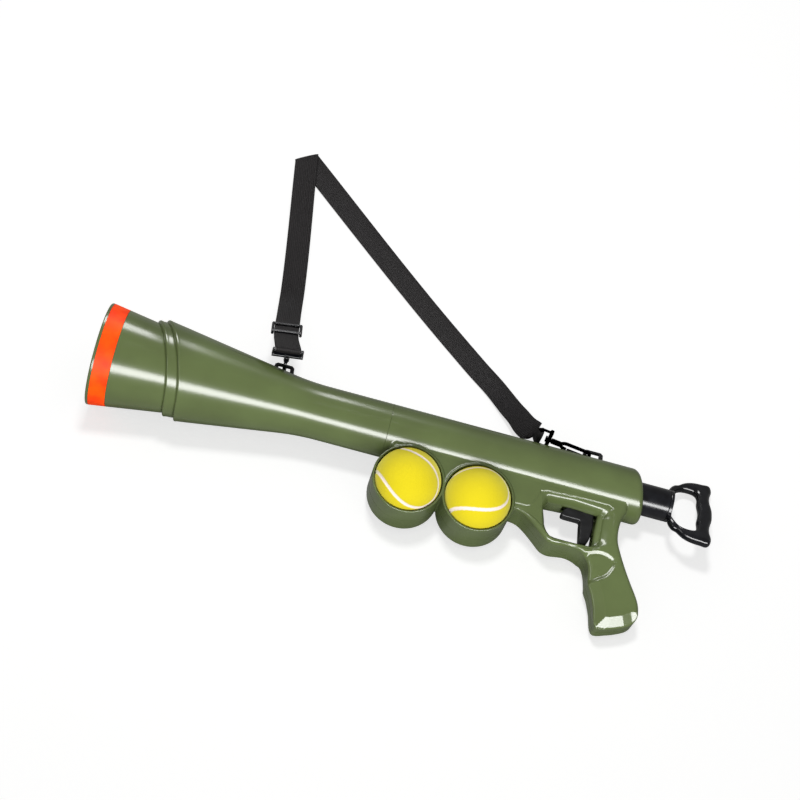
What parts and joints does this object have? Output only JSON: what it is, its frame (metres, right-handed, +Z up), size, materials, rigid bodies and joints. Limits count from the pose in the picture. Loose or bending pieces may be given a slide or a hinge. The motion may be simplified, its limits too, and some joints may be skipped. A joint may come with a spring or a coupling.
{
  "type": "dog tennis ball launcher",
  "caption": "Spring plunger launcher for tennis balls: flared muzzle, straight barrel, open ball cups, pistol grip with trigger, pull tube with D handle and clip-on shoulder strap.",
  "frame": {"origin": "centre of the mouth's front rim, on the barrel's axis", "axes": "the launcher lies on its right side on level ground: +Z up, +X rearward along the barrel, +Y towards its top side and its strap; the barrel's axis falls 2.5 degrees rearward, and the ground is 51.9 mm under the origin"},
  "size_m": [0.6351, 0.494, 0.1036],
  "materials": {
    "shell_green": "moulded olive green plastic with a satin surface",
    "band_orange": "bright orange moulded plastic",
    "black_plastic": "black moulded plastic",
    "glossy_black_plastic": "glossy black moulded plastic",
    "white_plastic": "natural white plastic",
    "soft_rubber": "soft dark rubber",
    "tennis_felt": "yellow tennis ball felt with pale seams",
    "zinc_steel": "zinc plated steel",
    "strap_webbing": "black woven polypropylene webbing"
  },
  "bodies": {
    "launcher": {"front_barrel": "shell_green", "left_shell": "shell_green", "right_shell": "shell_green", "muzzle_cap": "shell_green", "muzzle_band": "band_orange", "shell_screws": "zinc_steel", "guide_tube": "white_plastic", "spring_stop": "black_plastic", "bumper_ring": "soft_rubber", "rear_bushing": "black_plastic", "trigger_pin": "zinc_steel", "sear_pin": "zinc_steel", "trigger_spring": "zinc_steel", "sear_spring": "zinc_steel", "main_spring": "zinc_steel", "front_strap_eye": "black_plastic", "rear_strap_eye": "black_plastic", "strap_webbing": "strap_webbing"},
    "plunger": {"piston": "white_plastic", "piston_pad": "soft_rubber", "plunger_rod": "zinc_steel", "rod_nut": "zinc_steel"},
    "handle": {"plunger_tube": "glossy_black_plastic", "pull_handle": "glossy_black_plastic", "handle_pin": "zinc_steel"},
    "trigger": {"trigger": "black_plastic"},
    "sear": {"sear": "black_plastic"},
    "front_ball": {"front_ball": "tennis_felt"},
    "rear_ball": {"rear_ball": "tennis_felt"},
    "front_hook": {"front_hook": "glossy_black_plastic"},
    "front_gate": {"front_hook_gate": "zinc_steel"},
    "front_swivel": {"front_swivel_loop": "glossy_black_plastic"},
    "slider": {"strap_slider": "glossy_black_plastic"},
    "rear_hook": {"rear_hook": "glossy_black_plastic"},
    "rear_gate": {"rear_hook_gate": "zinc_steel"},
    "rear_swivel": {"rear_swivel_loop": "glossy_black_plastic"}
  },
  "joints": [
    {"name": "plunger_slide", "type": "slide", "parent": "launcher", "child": "plunger", "axis": [0.999, 0, -0.044], "range_m": [0, 0.097], "stiffness_N_per_m": 600, "springref_m": -0.03, "deforming": ["main_spring"]},
    {"name": "handle_turn", "type": "hinge", "parent": "plunger", "child": "handle", "pos_m": [0.49952, 0, -0.02199], "axis": [0.999, 0, -0.044], "continuous": true},
    {"name": "trigger_pull", "type": "hinge", "parent": "launcher", "child": "trigger", "pos_m": [0.49643, -0.02693, -0.02383], "axis": [0.0439, -0.0732, 0.9963], "range_deg": [0, 10], "stiffness_Nm_per_rad": 0.4, "springref_deg": -20.05, "deforming": ["trigger_spring"]},
    {"name": "sear_turn", "type": "hinge", "parent": "launcher", "child": "sear", "pos_m": [0.52242, -0.02394, -0.02476], "axis": [0.0439, -0.0732, 0.9963], "range_deg": [-13, 0], "deforming": ["sear_spring"]},
    {"name": "front_ball_lift", "type": "slide", "parent": "launcher", "child": "front_ball", "axis": [0.0439, -0.0732, 0.9963], "range_m": [0, 0.045]},
    {"name": "rear_ball_lift", "type": "slide", "parent": "launcher", "child": "rear_ball", "axis": [0.0439, -0.0732, 0.9963], "range_m": [0, 0.045]},
    {"name": "front_hook_swing", "type": "hinge", "parent": "launcher", "child": "front_hook", "pos_m": [0.18045, 0.0399, -0.00501], "axis": [0.999, 0, -0.044], "range_deg": [-14, 8], "deforming": ["strap_webbing"]},
    {"name": "front_gate_open", "type": "hinge", "parent": "front_hook", "child": "front_gate", "pos_m": [0.18049, 0.04751, -0.00425], "axis": [-0.999, 0, 0.044], "range_deg": [0, 20], "stiffness_Nm_per_rad": 0.02, "springref_deg": -17.19},
    {"name": "front_swivel_turn", "type": "hinge", "parent": "front_hook", "child": "front_swivel", "pos_m": [0.18132, 0.04021, 0.01455], "axis": [0.0439, -0.0732, 0.9963], "range_deg": [-24, 24], "deforming": ["strap_webbing"]},
    {"name": "slider_slide", "type": "slide", "parent": "launcher", "child": "slider", "axis": [-0.1084, 0.8335, -0.5418], "range_m": [-0.006, 0.02], "deforming": ["strap_webbing"]},
    {"name": "rear_hook_swing", "type": "hinge", "parent": "launcher", "child": "rear_hook", "pos_m": [0.49972, 0.03122, -0.0197], "axis": [-0.0439, 0.0732, -0.9963], "range_deg": [0, 60], "deforming": ["strap_webbing"]},
    {"name": "rear_gate_open", "type": "hinge", "parent": "rear_hook", "child": "rear_gate", "pos_m": [0.47758, 0.03453, -0.02441], "axis": [-0.1336, -0.9888, -0.0668], "range_deg": [0, 6], "stiffness_Nm_per_rad": 0.02, "springref_deg": -17.19},
    {"name": "rear_swivel_turn", "type": "hinge", "parent": "rear_hook", "child": "rear_swivel", "pos_m": [0.45873, 0.0366, -0.0175], "axis": [0.9901, -0.1302, -0.0532], "range_deg": [-30, 30], "deforming": ["strap_webbing"]}
  ],
  "couplings": [
    {"joint": "sear_turn", "follows": "trigger_pull", "ratio": -1.3}
  ]
}
